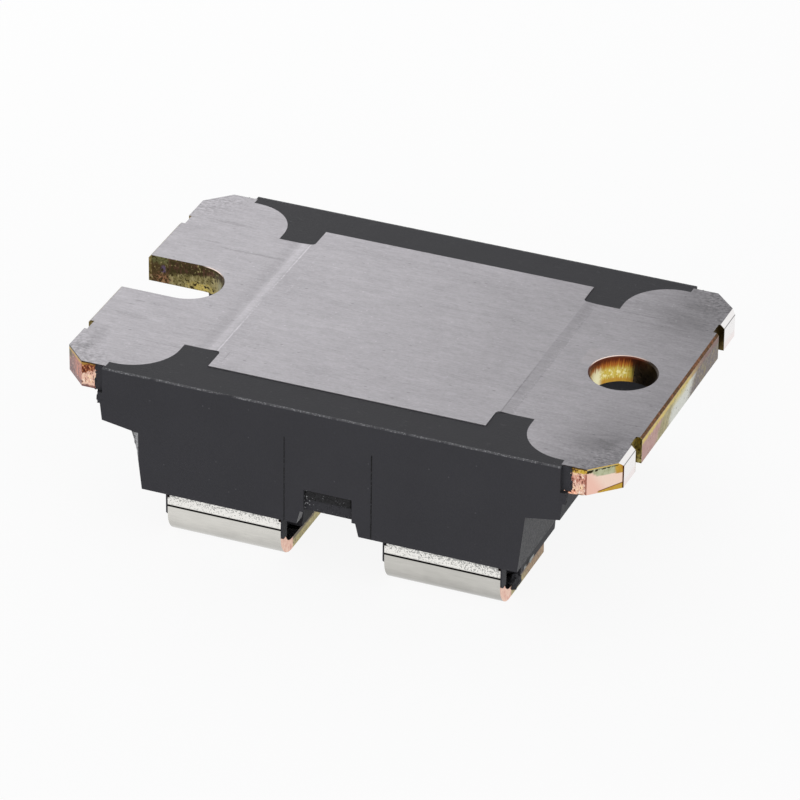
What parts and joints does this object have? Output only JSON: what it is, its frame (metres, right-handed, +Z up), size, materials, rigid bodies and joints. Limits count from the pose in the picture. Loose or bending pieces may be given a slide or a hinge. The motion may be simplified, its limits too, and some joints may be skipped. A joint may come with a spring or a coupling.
{
  "type": "schottky diode module",
  "caption": "Flat moulded diode module with a metal mounting plate, a round hole and an open slot for screws, and folded screw terminals with captive nuts.",
  "frame": {"origin": "centre of the footprint, on the plane of the four terminal contact faces", "axes": "+X along the long axis to the round mounting hole, +Y across to the anode terminals, +Z up out of the metal mounting face"},
  "size_m": [0.038, 0.0252, 0.0121],
  "materials": {
    "nickel_plate": "satin nickel plating over stamped copper",
    "moulding": "matt charcoal moulding compound",
    "nickel_strip": "bright nickel plating over copper strip",
    "nut_steel": "zinc plated",
    "solder": "dull solder",
    "copper": "bare copper",
    "ceramic": "white alumina",
    "silicon": "dark polished silicon"
  },
  "bodies": {
    "root": {"baseplate": "nickel_plate", "housing": "moulding", "cathode_terminal_1": "nickel_strip", "cathode_nut_1": "nut_steel", "cathode_terminal_2": "nickel_strip", "cathode_nut_2": "nut_steel", "anode_terminal_1": "nickel_strip", "anode_nut_1": "nut_steel", "anode_terminal_2": "nickel_strip", "anode_nut_2": "nut_steel", "base_solder": "solder", "substrate_back_copper": "copper", "ceramic_substrate": "ceramic", "terminal_solder": "solder", "cathode_pad_1": "copper", "anode_pad_1": "copper", "die_solder_1": "solder", "diode_die_1": "silicon", "clip_solder_1": "solder", "anode_clip_1": "copper", "clip_foot_solder_1": "solder", "cathode_pad_2": "copper", "anode_pad_2": "copper", "die_solder_2": "solder", "diode_die_2": "silicon", "clip_solder_2": "solder", "anode_clip_2": "copper", "clip_foot_solder_2": "solder"}
  },
  "joints": []
}
